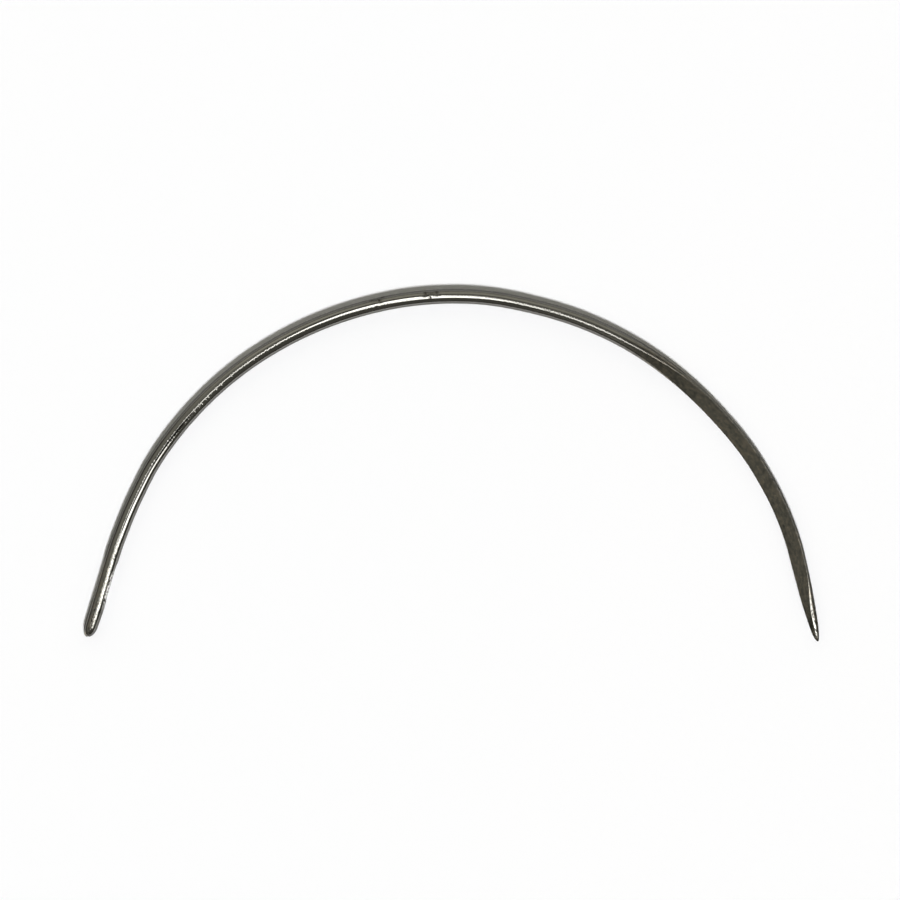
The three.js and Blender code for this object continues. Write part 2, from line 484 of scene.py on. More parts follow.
@dataclass(frozen=True)
class Blade:
    """The flat-sided end of the wire: run-out, blade and point, in millimetres."""

    length: float = 53.0
    run_out: float = 15.5
    height: float = 2.2
    width: float = 1.45
    edge_radius: float = 0.08
    ridge_radius: float = 0.12
    point_length: float = 13.9
    bevel_length: float = 9.8
    bevel_full_length: float = 2.8
    bevel_share: float = 0.39
    bevel_tilt: float = math.radians(6)
    bevel_round_share: float = 0.6
    tip_round_length: float = 1.0
    tip_round_drop: float = 0.16
    ring_step: float = 0.3
    point_rings: int = 90
    fan_points: int = 24
    turn_share: float = 0.5

    def stations(self, wire: BentWire) -> Array:
        """Where the sections of the blade lie.

        Args:
            wire: The wire that the blade is ground from.

        Returns:
            Rising distances from the butt.
        """
        start = wire.length - self.length
        point = wire.length - self.point_length
        body = evenly(start, point, self.ring_step)
        tip = wire.length - crowding(self.point_length, self.point_rings)[::-1]
        return np.unique(np.round(np.concatenate([body, tip]), PLACE_DIGITS))

    def half_outline(self, along: float, wire: BentWire, count: int) -> Array:
        """The upper half of the blade's section.

        Args:
            along: The distance from the butt.
            wire: The wire that the blade is ground from.
            count: How many steps the outline has.

        Returns:
            Points, out and up, from the back over the ridge to the cutting edge.
        """
        radius = wire.radius
        start = wire.length - self.length
        flat = float(smoothstep(np.array(along), start, start + self.run_out))
        height = wire.diameter + flat * (self.height - wire.diameter)
        ridge_radius = radius + flat * (self.ridge_radius - radius)
        ridge_height = flat * (self.width / 2 - self.ridge_radius)
        edge_radius = radius + flat * (self.edge_radius - radius)
        back_facing = math.asin((self.width / 2 - self.ridge_radius) / (radius - self.ridge_radius))
        bevel_facing = math.pi / 2 - self.bevel_tilt

        left = wire.length - along
        rounded = float(quarter_ellipse(np.array(left / self.tip_round_length)))
        sweep = float(quarter_ellipse(np.array(left / self.point_length)))
        drawn = (self.tip_round_drop * rounded + (height - self.tip_round_drop) * sweep) / height
        ground = 1.0 - float(smoothstep(np.array(left), self.bevel_full_length, self.bevel_length))
        bevel = self.bevel_share * drawn * height * ground

        ridge_height *= drawn
        ridge_radius *= drawn
        edge_radius *= drawn
        back = radius - self.tip_round_drop * (1.0 - rounded)
        swell = self.bevel_round_share * bevel / (math.cos(back_facing) - math.cos(bevel_facing))
        level = (1.0 - self.bevel_round_share) * bevel
        shoulder_up = ridge_height - swell * math.sin(bevel_facing) - level * math.cos(bevel_facing)
        shoulder_radius = ridge_radius + swell
        back_radius = shoulder_radius + shoulder_up / math.sin(back_facing)
        shoulder_out = back - back_radius + (back_radius - shoulder_radius) * math.cos(back_facing)
        ridge_out = shoulder_out + swell * math.cos(bevel_facing) - level * math.sin(bevel_facing)
        edge_out = back - drawn * height + edge_radius
        across = max(math.hypot(ridge_out - edge_out, ridge_height), NEARLY_ZERO)
        lean = math.asin((ridge_radius - edge_radius) / across)
        flat_facing = math.pi / 2 + math.atan2(ridge_height, ridge_out - edge_out) + lean
        fans = (
            (back - back_radius, 0.0, back_radius, 0.0, back_facing),
            (shoulder_out, shoulder_up, shoulder_radius, back_facing, bevel_facing),
            (ridge_out, ridge_height, ridge_radius, bevel_facing, flat_facing),
            (edge_out, 0.0, edge_radius, flat_facing, math.pi),
        )
        facing = np.concatenate([np.linspace(first, last, self.fan_points) for *_, first, last in fans])
        places = np.repeat(np.array([fan[:3] for fan in fans]), self.fan_points, axis=0)
        points = places[:, :2] + places[:, 2:] * np.column_stack([np.cos(facing), np.sin(facing)])
        length = lengths_along(points)
        measure = (1.0 - self.turn_share) * length / length[-1] + self.turn_share * facing / math.pi
        return respaced(points, measure, count)


class Net:
    """The points and faces of a mesh, as they are added."""

    def __init__(self) -> None:
        """Start with no points and no faces."""
        self.points: list[Array] = []
        self.faces: list[tuple[int, ...]] = []
        self.count = 0

    def add(self, points: Array) -> Array:
        """Add points.

        Args:
            points: One row for each point.

        Returns:
            Their numbers.
        """
        numbers = np.arange(self.count, self.count + len(points))
        self.points.append(points)
        self.count += len(points)
        return numbers

    def strip(self, row: Array, ahead: Array, flipped: bool) -> None:
        """Add the faces between two rows of points.

        Args:
            row: The numbers of one row's points.
            ahead: The numbers of the next row's points.
            flipped: Whether the faces look the other way.
        """
        for a, b, c, d in zip(row[:-1], row[1:], ahead[1:], ahead[:-1]):
            face = (a, d, c, b) if flipped else (a, b, c, d)
            self.faces.append(tuple(int(number) for number in face))

    def cap(self, pole: int, row: Array, flipped: bool) -> None:
        """Add the faces between one point and a row of points.

        Args:
            pole: The one point's number.
            row: The numbers of the row's points.
            flipped: Whether the faces look the other way.
        """
        for a, b in zip(row[:-1], row[1:]):
            self.faces.append((int(pole), int(b), int(a)) if flipped else (int(pole), int(a), int(b)))


@dataclass(frozen=True)
class Needle:
    """The needle: one bent wire with an eye at one end and a blade at the other, in millimetres."""

    wire: BentWire = field(default_factory=BentWire)
    eye_end: EyeEnd = field(default_factory=EyeEnd)
    blade: Blade = field(default_factory=Blade)
    half_steps: int = 40
    ring_step: float = 0.3
    nick_step: float = 0.05
    nick_reach: float = 1.0
    seam_overrun: float = 0.6
    ripple_height: float = 0.004
    ripple_fade_in: float = 4.0
    ripple_fade_out: Span = (96.0, 104.0)
    ripples: tuple[Ripple, ...] = (Ripple(1.9), Ripple(0.83, lead=2.0), Ripple(3.1, twist=40.0))
    # Painted shade inside the eye.
    eye_wall_shade: float = 0.6
    nicks: tuple[Nick, ...] = (
        Nick(along=64.7, facing=41, length=0.5, spread=8, depth=0.02, blackness=0.95),
        Nick(along=65.55, facing=56, length=0.26, spread=20, depth=0.04, blackness=1.0, slant=0.13),
        Nick(along=66.0, facing=32, length=0.4, spread=9, depth=0.02, blackness=0.95),
        Nick(along=65.2, facing=109, length=0.2, spread=8, depth=0.025, blackness=0.8),
        Nick(along=65.2, facing=48, length=0.9, spread=16, depth=0.0, blackness=0.5),
        Nick(along=72.0, facing=58, length=0.28, spread=15, depth=0.04, blackness=0.95),
        Nick(along=72.05, facing=79, length=0.3, spread=6, depth=0.02, blackness=0.9),
        Nick(along=73.55, facing=57, length=0.28, spread=13, depth=0.04, blackness=0.95),
        Nick(along=73.8, facing=81, length=0.35, spread=5, depth=0.015, blackness=0.85),
        Nick(along=72.6, facing=97, length=0.1, spread=11, depth=0.03, blackness=1.0),
        Nick(along=72.7, facing=62, length=0.8, spread=16, depth=0.0, blackness=0.55),
    )

    def stations(self) -> Array:
        """Where the sections lie.

        Returns:
            Rising distances from the butt to just short of the tip.
        """
        eye_stop = self.wire.straight_end + self.seam_overrun
        start = self.wire.length - self.blade.length
        near_nicks = [
            evenly(nick.along - self.nick_reach, nick.along + self.nick_reach, self.nick_step)
            for nick in self.nicks
        ]
        places = np.concatenate([
            self.eye_end.stations(eye_stop),
            evenly(eye_stop, start, self.ring_step),
            self.blade.stations(self.wire),
            *near_nicks,
        ])
        places = np.unique(np.round(places, PLACE_DIGITS))
        return places[places < self.wire.length]

    def half_outline(self, along: float) -> tuple[Array, Array | None]:
        """The upper half of a section.

        Args:
            along: The distance from the butt.

        Returns:
            The outline from outwards over the top, and the eye's wall back again, if the eye is there.
        """
        if along < self.wire.straight_end + self.seam_overrun:
            return self.eye_end.half_outline(along, self.wire.radius, self.half_steps)
        return self.blade.half_outline(along, self.wire, self.half_steps), None

    def net(self) -> Net:
        """Build the needle on the straight wire.

        Returns:
            Its mesh, with the butt's middle at the origin.
        """
        net = Net()
        butt = net.add(np.array([[0.0, self.eye_end.dome_offset, 0.0]]))[0]
        before: dict[Row, Array] = {}
        for along in self.stations():
            rows = self.rows(net, float(along))
            for row in rows:
                if row in before:
                    net.strip(before[row], rows[row], row.flipped)
                elif not before:
                    net.cap(butt, rows[row], not row.flipped)
            before = rows
        tip_out = self.wire.radius - self.blade.tip_round_drop
        tip = net.add(np.array([[self.wire.length, tip_out, 0.0]]))[0]
        for row in before:
            net.cap(tip, before[row], row.flipped)
        return net

    def rows(self, net: Net, along: float) -> dict[Row, Array]:
        """Add one section's points.

        Args:
            net: The mesh that they are added to.
            along: The section's distance from the butt.

        Returns:
            The numbers of the points in each of the section's rows.
        """
        def place(points: Array, side: float) -> Array:
            """Points of this section on the straight wire, above its middle or below."""
            return np.column_stack([np.full(len(points), along), points[:, 0], side * points[:, 1]])

        outline, wall = self.half_outline(along)
        split = self.eye_end.slot_half_width(along) > 0.0
        upper = net.add(place(outline, 1.0))
        if split:
            lower = net.add(place(outline, -1.0))
        else:
            inside = net.add(place(outline[1:-1], -1.0))
            lower = np.concatenate([upper[:1], inside, upper[-1:]])
        rows = {Row.UPPER: upper, Row.LOWER: lower}
        if wall is not None:
            upper_inside = net.add(place(wall[1:-1], 1.0))
            lower_inside = net.add(place(wall[1:-1], -1.0)) if split else upper_inside
            rows[Row.UPPER_WALL] = np.concatenate([upper[-1:], upper_inside, upper[:1]])
            rows[Row.LOWER_WALL] = np.concatenate([lower[-1:], lower_inside, lower[:1]])
        return rows

    def worn(self, unbent: Array) -> tuple[Array, Array]:
        """Dent the wire, let it wave a little and notch its butt.

        Args:
            unbent: Points of the straight wire.

        Returns:
            The worn points, and their darkening from 0 to 1: nick soot, and painted shade in the butt's
            notch and inside the eye.
        """
        wire, eye = self.wire, self.eye_end
        along, out, up = unbent.T
        facing = np.degrees(np.arctan2(np.abs(up), out))
        shares = [nick.share_at(along, facing) * (up > 0.0) for nick in self.nicks]
        dents = sum(nick.depth * share for nick, share in zip(self.nicks, shares))
        blackness = [nick.blackness * share for nick, share in zip(self.nicks, shares)]
        on_shank = smoothstep(along, wire.straight_end, wire.straight_end + self.ripple_fade_in)
        on_shank *= 1.0 - smoothstep(along, *self.ripple_fade_out)
        wave = sum(ripple.at(along, facing) for ripple in self.ripples) / len(self.ripples)
        shrink = 1.0 - (dents + self.ripple_height * wave * on_shank) / wire.radius
        butt = np.clip(1.0 - along / eye.notch_reach, 0.0, 1.0)
        groove = np.exp(-((out - eye.notch_out) / eye.notch_width) ** 2) * butt
        worn = np.column_stack([along + eye.notch_depth * groove, out * shrink, up * shrink])
        in_eye = (np.abs(up) < eye.eye_width / 2) & (along > eye.eye_start) & (along < eye.eye_stop)
        # Soot in the nicks, and painted shade in the butt's notch and inside the eye.
        grime_and_shade = np.maximum.reduce([*blackness, groove, self.eye_wall_shade * in_eye])
        return worn, np.clip(grime_and_shade, 0.0, 1.0)

    def true_shank(self) -> Array:
        """Lay the round shank on its true arc.

        Returns:
            Points all over it, with the butt at the origin.
        """
        places = evenly(self.wire.straight_end, self.wire.length - self.blade.length, self.ring_step)
        along, facing = np.meshgrid(places, np.linspace(0.0, 2 * math.pi, 4 * self.half_steps))
        round_it = self.wire.radius * np.array([np.cos(facing.ravel()), np.sin(facing.ravel())])
        return replace(self.wire, sways=()).lay(np.column_stack([along.ravel(), *round_it]))

    def build(self, shank: tuple[Vector, Vector]) -> bpy.types.Object:
        """Make the needle's mesh where the part's solids are.

        Args:
            shank: The lowest and highest corners of the part's shank, in metres.

        Returns:
            The needle, with no material yet.
        """
        net = self.net()
        unbent, grime_and_shade = self.worn(np.vstack(net.points))
        laid = self.wire.lay(unbent) * MM
        arc = self.true_shank() * MM
        middle = (arc.max(axis=0) + arc.min(axis=0)) / 2
        target = np.array((shank[0] + shank[1]) / 2)
        mesh = bpy.data.meshes.new("needle")
        mesh.from_pydata((laid - middle + target).tolist(), [], net.faces)
        mesh.polygons.foreach_set("use_smooth", np.ones(len(net.faces), bool))
        unbent_store = mesh.attributes.new(UNBENT, "FLOAT_VECTOR", "POINT")
        unbent_store.data.foreach_set("vector", (unbent * MM).astype(np.float32).ravel())
        grime_and_shade_store = mesh.attributes.new(GRIME_AND_SHADE, "FLOAT", "POINT")
        grime_and_shade_store.data.foreach_set("value", grime_and_shade.astype(np.float32))
        mesh.update()
        return linked("needle", mesh)

    def dress(self, piece: bpy.types.Object, steel: "NeedleSteel") -> None:
        """Give the needle its finish and tell the frame what it stands for.

        Args:
            piece: The needle's object.
            steel: The finish.
        """
        piece.data.materials.append(steel.material())
        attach(piece, "root")
        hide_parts(*(node.value for node in CadNode))


class Field:
    """A shader socket that joins in sums as a number does."""

    def __init__(self, graph: "Graph", socket: bpy.types.NodeSocket) -> None:
        """Wrap one node's output in a graph."""
        self.graph = graph
        self.socket = socket

    def maths(self, operation: str, first: Any, second: Any) -> "Field":
        """Add a Math node on two values or fields."""
        return self.graph.node("ShaderNodeMath", {"operation": operation}, {0: first, 1: second})

    def __add__(self, other: Any) -> "Field":
        """This field plus another value."""
        return self.maths("ADD", self, other)

    def __radd__(self, other: Any) -> "Field":
        """Another value plus this field."""
        return self.maths("ADD", other, self)

    def __sub__(self, other: Any) -> "Field":
        """This field less another value."""
        return self.maths("SUBTRACT", self, other)

    def __rsub__(self, other: Any) -> "Field":
        """Another value less this field."""
        return self.maths("SUBTRACT", other, self)

    def __mul__(self, other: Any) -> "Field":
        """This field times another value."""
        return self.maths("MULTIPLY", self, other)

    def __rmul__(self, other: Any) -> "Field":
        """Another value times this field."""
        return self.maths("MULTIPLY", other, self)

    def at_least(self, other: Any) -> "Field":
        """The greater of this field and another value."""
        return self.maths("MAXIMUM", self, other)

    def size(self) -> "Field":
        """This field without its sign."""
        return self.graph.node("ShaderNodeMath", {"operation": "ABSOLUTE"}, {0: self})

    def rise(self, low: float, high: float) -> "Field":
        """Rise smoothly with this field.

        Args:
            low: The value at which the rise leaves 0.
            high: The value at which it reaches 1.

        Returns:
            The height of the rise.
        """
        settings = {"interpolation_type": "SMOOTHSTEP", "clamp": True}
        inputs = {"Value": self, "From Min": low, "From Max": high}
        return self.graph.node("ShaderNodeMapRange", settings, inputs)

    def fall(self, low: float, high: float) -> "Field":
        """Fall smoothly from 1 where this field is low to 0 where it is high."""
        return 1.0 - self.rise(low, high)

    def within(self, start: Span, stop: Span) -> "Field":
        """Rise smoothly over one span and fall again over another."""
        return self.rise(*start) * self.fall(*stop)

    def part(self, name: str) -> "Field":
        """Another output of the same node."""
        return Field(self.graph, self.socket.node.outputs[name])


class Graph:
    """A node tree that is written as expressions."""

    def __init__(self, tree: bpy.types.NodeTree) -> None:
        """Start an empty tree."""
        self.tree = tree
        tree.nodes.clear()

    def node(self, kind: str, settings: dict[str, Any], inputs: dict[Any, Any], output: Any = 0) -> Field:
        """Add a node.

        Args:
            kind: The node's type.
            settings: Its properties, which are set first.
            inputs: Values or fields for its sockets, by name or number.
            output: The output that is wanted, by name or number.

        Returns:
            That output.
        """
        made = self.tree.nodes.new(kind)
        for name, value in settings.items():
            setattr(made, name, value)
        for name, value in inputs.items():
            if isinstance(value, Field):
                self.tree.links.new(value.socket, made.inputs[name])
            else:
                made.inputs[name].default_value = value
        return Field(self, made.outputs[output]) if len(made.outputs) else Field(self, None)

    def noise(self, vector: Field, sizes: Sizes, detail: float, roughness: float = 0.5) -> Field:
        """A cloudy pattern from 0 to 1.

        Args:
            vector: Where it is read.
            sizes: How large its blots are along each axis, in metres.
            detail: How many finer layers it has.
            roughness: How strong those are.

        Returns:
            The pattern.
        """
        scale = tuple(1.0 / size for size in sizes)
        place = self.node("ShaderNodeVectorMath", {"operation": "MULTIPLY"}, {0: vector, 1: scale})
        inputs = {"Vector": place, "Scale": 1.0, "Detail": detail, "Roughness": roughness}
        return self.node("ShaderNodeTexNoise", {"noise_dimensions": "3D"}, inputs, "Fac")

    def mixed(self, share: Any, under: Any, over: Any, blend: Blend = Blend.COVER) -> Field:
        """Lay one colour over another.

        Args:
            share: How much of it shows.
            under: The colour below, as a field or four numbers.
            over: The colour above, as a field or four numbers.
            blend: How it is laid.

        Returns:
            The mixed colour.
        """
        settings = {"data_type": "RGBA", "blend_type": blend.value, "clamp_factor": True}
        inputs = {"Factor": share, MIX_UNDER: under, MIX_OVER: over}
        return self.node("ShaderNodeMix", settings, inputs, MIX_RESULT)

    def grey(self, level: Field) -> Field:
        """A grey of the given level, as a colour."""
        return self.node("ShaderNodeCombineColor", {}, {"Red": level, "Green": level, "Blue": level})


def opaque(colour: Colour) -> tuple[float, float, float, float]:
    """A colour with its alpha."""
    return (*colour, 1.0)


@dataclass(frozen=True)
class SteelPlaces:
    """Where a point lies on the straight wire, its share in each part of the needle, and its patterns."""

    unbent: Field
    along: Field
    out: Field
    on_blade: Field
    at_eye: Field
    at_butt: Field
    # Shares in the painted shade on the flanks of the upper half.
    outer_flank: Field
    inner_flank: Field
    mouth: Field
    flecked: Field
    bevel: Field
    shoulder: Field
    glint_trim_stretch: Field
    # Share in the painted dark band that narrows the side panel's glint.
    glint_trim: Field
    # Nick soot, and painted shade in the butt's notch, inside the eye and at the tip.
    grime_and_shade: Field
    mottle: Field
    lines: Field
    pits: Field


@dataclass(frozen=True)
class SteelMap:
    """Where the needle's parts begin and end, how level they are, and its patterns' sizes, in metres."""

    eye_stop: Span = (0.01, 0.016)
    butt_stop: Span = (0.004, 0.006)
    mouth_start: Span = (0.0042, 0.0058)
    mouth_stop: Span = (0.0087, 0.0107)
    mouth_out: Span = (-0.00065, -0.0005)
    blade_start: Span = (0.0985, 0.107)
    point_start: Span = (0.1435, 0.1515)
    pits_stop: Span = (0.1511, 0.1516)
    # Where the painted black shade at the tip begins.
    tip_shade_start: Span = (0.1521, 0.15235)
    # The glint trim spans mark a painted dark band that narrows the side panel's glint near the eye end.
    glint_trim_start: Span = (0.0135, 0.0165)
    glint_trim_stop: Span = (0.031, 0.037)
    glint_trim_inner: Span = (-0.00026, -0.0002)
    glint_trim_outer: Span = (-0.00007, 0.0)
    glint_trim_drift: float = 0.00009
    drift_along: Span = (0.018, 0.025)
    # The flank spans mark painted shade: the flanks of the upper half are darkened, the lower half is not.
    upper_side: Span = (-0.0004, 0.0001)
    outer_side: Span = (-0.0002, 0.0002)
    outer_flank: Span = (0.00048, 0.00079)
    end_flank_shift: float = 0.00014
    inner_flank: Span = (0.00042, 0.001)
    fleck_inner: Span = (-0.0002, 0.0)
    fleck_outer: Span = (0.0002, 0.00045)
    pits_out: Span = (0.00028, 0.0004)
    pits_level: Span = (0.9, 0.96)
    bevel_out: Span = (0.0, 0.0002)
    bevel_level: Span = (0.982, 0.993)
    shoulder_out: Span = (0.0002, 0.0005)
    shoulder_level: Span = (0.95, 0.99)
    mottle_size: Sizes = (0.0007, 0.0004, 0.0004)
    mottle_detail: float = 4.0
    mottle_grain: float = 0.62
    line_size: Sizes = (0.012, 0.00007, 0.00007)
    line_detail: float = 2.0
    pit_size: Sizes = (0.00036, 0.00026, 0.00026)
    pit_detail: float = 2.0
    pit_edge: Span = (0.5, 0.62)

    def read(self, graph: Graph) -> SteelPlaces:
        """Read where each point lies.

        Args:
            graph: The material's node tree.

        Returns:
            The point's place on the straight wire, its share in each part and its patterns.
        """
        unbent = graph.node("ShaderNodeAttribute", {"attribute_name": UNBENT}, {}, "Vector")
        grime_and_shade = graph.node("ShaderNodeAttribute", {"attribute_name": GRIME_AND_SHADE}, {}, "Fac")
        normal = graph.node("ShaderNodeNewGeometry", {}, {}, "Normal")
        level = graph.node("ShaderNodeSeparateXYZ", {}, {0: normal}, "Z").size()
        along = graph.node("ShaderNodeSeparateXYZ", {}, {0: unbent}, "X")
        out = along.part("Y")
        up = along.part("Z")
        above = up.rise(*self.upper_side)
        on_blade = along.rise(*self.blade_start)
        at_point = along.rise(*self.point_start)
        at_butt = along.fall(*self.butt_stop)
        at_eye = along.fall(*self.eye_stop)
        # Painted shade on the flanks of the upper half, set further out at the blade and the eye end.
        flank_out = out - self.end_flank_shift * (on_blade + at_eye)
        inner_flank = up.size().fall(*self.inner_flank) * out.fall(*self.outer_side)
        # Pits at the point, bumped and painted black as shade.
        pitted = at_point * along.fall(*self.pits_stop)
        pitted = pitted * out.rise(*self.pits_out) * level.rise(*self.pits_level)
        # The stretch and the band of painted shade that narrows the side panel's glint.
        glint_trim_stretch = along.within(self.glint_trim_start, self.glint_trim_stop)
        drift = self.glint_trim_drift * along.rise(*self.drift_along)
        return SteelPlaces(
            unbent=unbent,
            along=along,
            out=out,
            on_blade=on_blade,
            at_eye=at_eye,
            at_butt=at_butt,
            outer_flank=flank_out.rise(*self.outer_flank) * above,
            inner_flank=inner_flank * (1.0 - on_blade) * above,
            mouth=along.within(self.mouth_start, self.mouth_stop) * out.fall(*self.mouth_out),
            flecked=(at_butt * out.within(self.fleck_inner, self.fleck_outer)).at_least(pitted),
            bevel=at_point * level.rise(*self.bevel_level) * out.rise(*self.bevel_out),
            shoulder=at_point * level.fall(*self.shoulder_level) * out.rise(*self.shoulder_out),
            glint_trim_stretch=glint_trim_stretch,
            glint_trim=glint_trim_stretch * (out + drift).rise(*self.glint_trim_inner) * out.fall(*self.glint_trim_outer),
            # Nick soot, and painted shade in the notch, inside the eye and at the tip.
            grime_and_shade=grime_and_shade.at_least(along.rise(*self.tip_shade_start)),
            mottle=graph.noise(unbent, self.mottle_size, self.mottle_detail, self.mottle_grain),
            lines=graph.noise(unbent, self.line_size, self.line_detail),
            pits=graph.noise(unbent, self.pit_size, self.pit_detail).rise(*self.pit_edge),
        )


@dataclass(frozen=True)
class SteelRelief:
    """The fine waves that drawing leaves on the wire, and the pits at its two ends, in metres."""

    wave_size: Sizes = (0.0003, 0.001, 0.001)
    wave_detail: float = 1.0
    wave_height: float = 0.000045
    least_waves: float = 0.06
    calm_start: Span = (0.024, 0.034)
    calm_loss: float = 0.5
    smooth_start: Span = (0.045, 0.057)
    smooth_stop: Span = (0.079, 0.091)
    far_waves: float = 0.6
    blade_loss: float = 0.7
    outer_side: Span = (0.0001, 0.0003)
    outer_loss: float = 0.9
    bead_start: Span = (0.136, 0.139)
    bead_stop: Span = (0.1435, 0.1465)
    bead_waves: float = 0.8
    glint_trim_outer: Span = (-0.00012, 0.0)
    glint_trim_wave_loss: float = 0.9
    pit_height: float = 0.00002
    shoulder_pits: float = 2.2
    mouth_pits: float = 1.5

    def normal(self, graph: Graph, places: SteelPlaces) -> Field:
        """Tilt the surface with the waves and pits.

        Args:
            graph: The material's node tree.
            places: Where each point lies.

        Returns:
            The normal.
        """
        along, out = places.along, places.out
        drawn = graph.noise(places.unbent, self.wave_size, self.wave_detail)
        waves = (1.0 - self.calm_loss * along.rise(*self.calm_start)) * along.fall(*self.smooth_start)
        waves = waves + self.far_waves * along.rise(*self.smooth_stop)
        waves = waves * (1.0 - self.blade_loss * places.on_blade)
        waves = waves * (1.0 - self.outer_loss * out.rise(*self.outer_side))
        waves = waves + self.bead_waves * along.within(self.bead_start, self.bead_stop)
        waves = waves * (1.0 - self.glint_trim_wave_loss * places.glint_trim_stretch * out.fall(*self.glint_trim_outer))
        waves = self.least_waves + (1.0 - self.least_waves) * waves
        pitted = self.shoulder_pits * places.shoulder + self.mouth_pits * places.mouth + places.flecked
        height = self.wave_height * drawn * waves - self.pit_height * places.pits * pitted
        inputs = {"Strength": 1.0, "Distance": 1.0, "Height": height}
        return graph.node("ShaderNodeBump", {}, inputs, "Normal")


@dataclass(frozen=True)
class NeedleSteel:
    """Drawn needle steel, bright on the shank and dull on the blade, with painted shade in its colour.
    Distances are in metres.
    """

    parts: SteelMap = field(default_factory=SteelMap)
    relief: SteelRelief = field(default_factory=SteelRelief)
    bright: Colour = (0.35, 0.342, 0.313)
    dull: Colour = (0.21, 0.204, 0.178)
    stain: Colour = (0.22, 0.175, 0.125)
    # Black for the nicks' soot and for painted shade.
    blackness: Colour = (0.014, 0.011, 0.008)
    rubbed: Colour = (0.8, 0.79, 0.76)
    edge_gloss: float = 0.5
    stain_out: Span = (-0.0006, 0.0004)
    stain_edge: Span = (0.4, 0.66)
    stain_share: float = 0.6
    blade_stain: float = 0.7
    tone: float = 0.77
    mottle_tone: float = 0.3
    line_tone: float = 0.16
    end_mottle_tone: float = 2.2
    end_line_tone: float = 0.4
    eye_share: float = 0.6
    # Painted shade: how dark the upper flanks are painted, darker still on the eye end's outer flank and
    # the butt's inner flank.
    outer_shade: float = 0.33
    inner_shade: float = 0.5
    butt_shade: float = 0.85
    eye_shade: float = 0.45
    # Painted shade in the band that narrows the side panel's glint.
    glint_trim_shade: float = 0.15
    bevel_rubbing: float = 0.45
    # Painted shade in the pits of the eye's mouth.
    mouth_pit_shade: float = 0.95
    dirt_and_shade_cover: float = 0.9
    bright_roughness: float = 0.075
    dull_roughness: float = 0.22
    bevel_polish: float = 0.6
    mottle_roughness: float = 0.12
    shank_share: float = 0.3
    line_roughness: float = 0.05
    eye_roughness: float = 0.02
    grime_and_shade_roughness: float = 0.3

    def material(self) -> bpy.types.Material:
        """Mix the finish, which reads where a point lay on the straight wire.

        Returns:
            The material.
        """
        made = bpy.data.materials.new("needle_steel")
        made.use_nodes = True
        graph = Graph(made.node_tree)
        places = self.parts.read(graph)
        inputs = {
            "Base Color": self.colour(graph, places),
            "Metallic": 1.0,
            "Roughness": self.roughness(places),
            "Specular Tint": opaque((self.edge_gloss,) * 3),
            "Normal": self.relief.normal(graph, places),
        }
        shader = graph.node("ShaderNodeBsdfPrincipled", {}, inputs)
        graph.node("ShaderNodeOutputMaterial", {}, {"Surface": shader})
        return made

    def shading(self, places: SteelPlaces) -> Field:
        """How bright the bare steel is, with painted shade on the upper flanks and in the band that narrows
        a glint.

        Args:
            places: Where each point lies.

        Returns:
            What its colour is multiplied by.
        """
        mottle, lines = places.mottle, places.lines
        at_ends = places.on_blade + self.eye_share * places.at_eye
        uneven = self.end_mottle_tone * (mottle - 0.5) + self.end_line_tone * (lines - 0.5)
        tone = self.tone + self.mottle_tone * mottle + self.line_tone * lines + at_ends * uneven
        # Painted shade: the upper flanks, more at the eye end's outer flank and the butt's inner flank, and
        # the band that narrows a glint.
        shaded = (
            (self.outer_shade, places.outer_flank),
            (self.eye_shade, places.outer_flank * places.at_eye),
            (self.inner_shade, places.inner_flank),
            (self.butt_shade, places.inner_flank * places.at_butt),
            (self.glint_trim_shade, places.glint_trim),
        )
        for shade, share in shaded:
            tone = tone * (1.0 - (1.0 - shade) * share)
        return tone

    def colour(self, graph: Graph, places: SteelPlaces) -> Field:
        """The steel's colour.

        Args:
            graph: The material's node tree.
            places: Where each point lies.

        Returns:
            The colour.
        """
        dulled = graph.mixed(places.on_blade, opaque(self.bright), opaque(self.dull))
        stained = places.at_eye * places.out.rise(*self.stain_out) + self.blade_stain * places.on_blade
        stained = self.stain_share * stained * places.mottle.rise(*self.stain_edge)
        tinted = graph.mixed(stained, dulled, opaque(self.stain))
        # Multiplies the painted shade into the colour.
        shaded = graph.mixed(1.0, tinted, graph.grey(self.shading(places)), Blend.DARKEN)
        rubbing = places.mouth * (1.0 - places.pits) + self.bevel_rubbing * places.bevel
        worn = graph.mixed(rubbing, shaded, opaque(self.rubbed))
        # Nick soot and painted shade: black in the pits by the butt, on the point and in the eye's mouth,
        # in the notch, inside the eye and at the tip.
        dirt_and_shade = places.grime_and_shade.at_least(places.pits * (places.flecked + self.mouth_pit_shade * places.mouth))
        return graph.mixed(self.dirt_and_shade_cover * dirt_and_shade, worn, opaque(self.blackness))

    def roughness(self, places: SteelPlaces) -> Field:
        """How far the steel blurs what it reflects.

        Args:
            places: Where each point lies.

        Returns:
            The roughness.
        """
        gap = self.dull_roughness - self.bright_roughness
        base = self.bright_roughness + gap * places.on_blade * (1.0 - self.bevel_polish * places.bevel)
        uneven = self.mottle_roughness * (places.mottle - 0.5) * (places.on_blade + self.shank_share)
        uneven = uneven + self.line_roughness * (places.lines - 0.5)
        return base + self.eye_roughness * places.at_eye + uneven + self.grime_and_shade_roughness * places.grime_and_shade


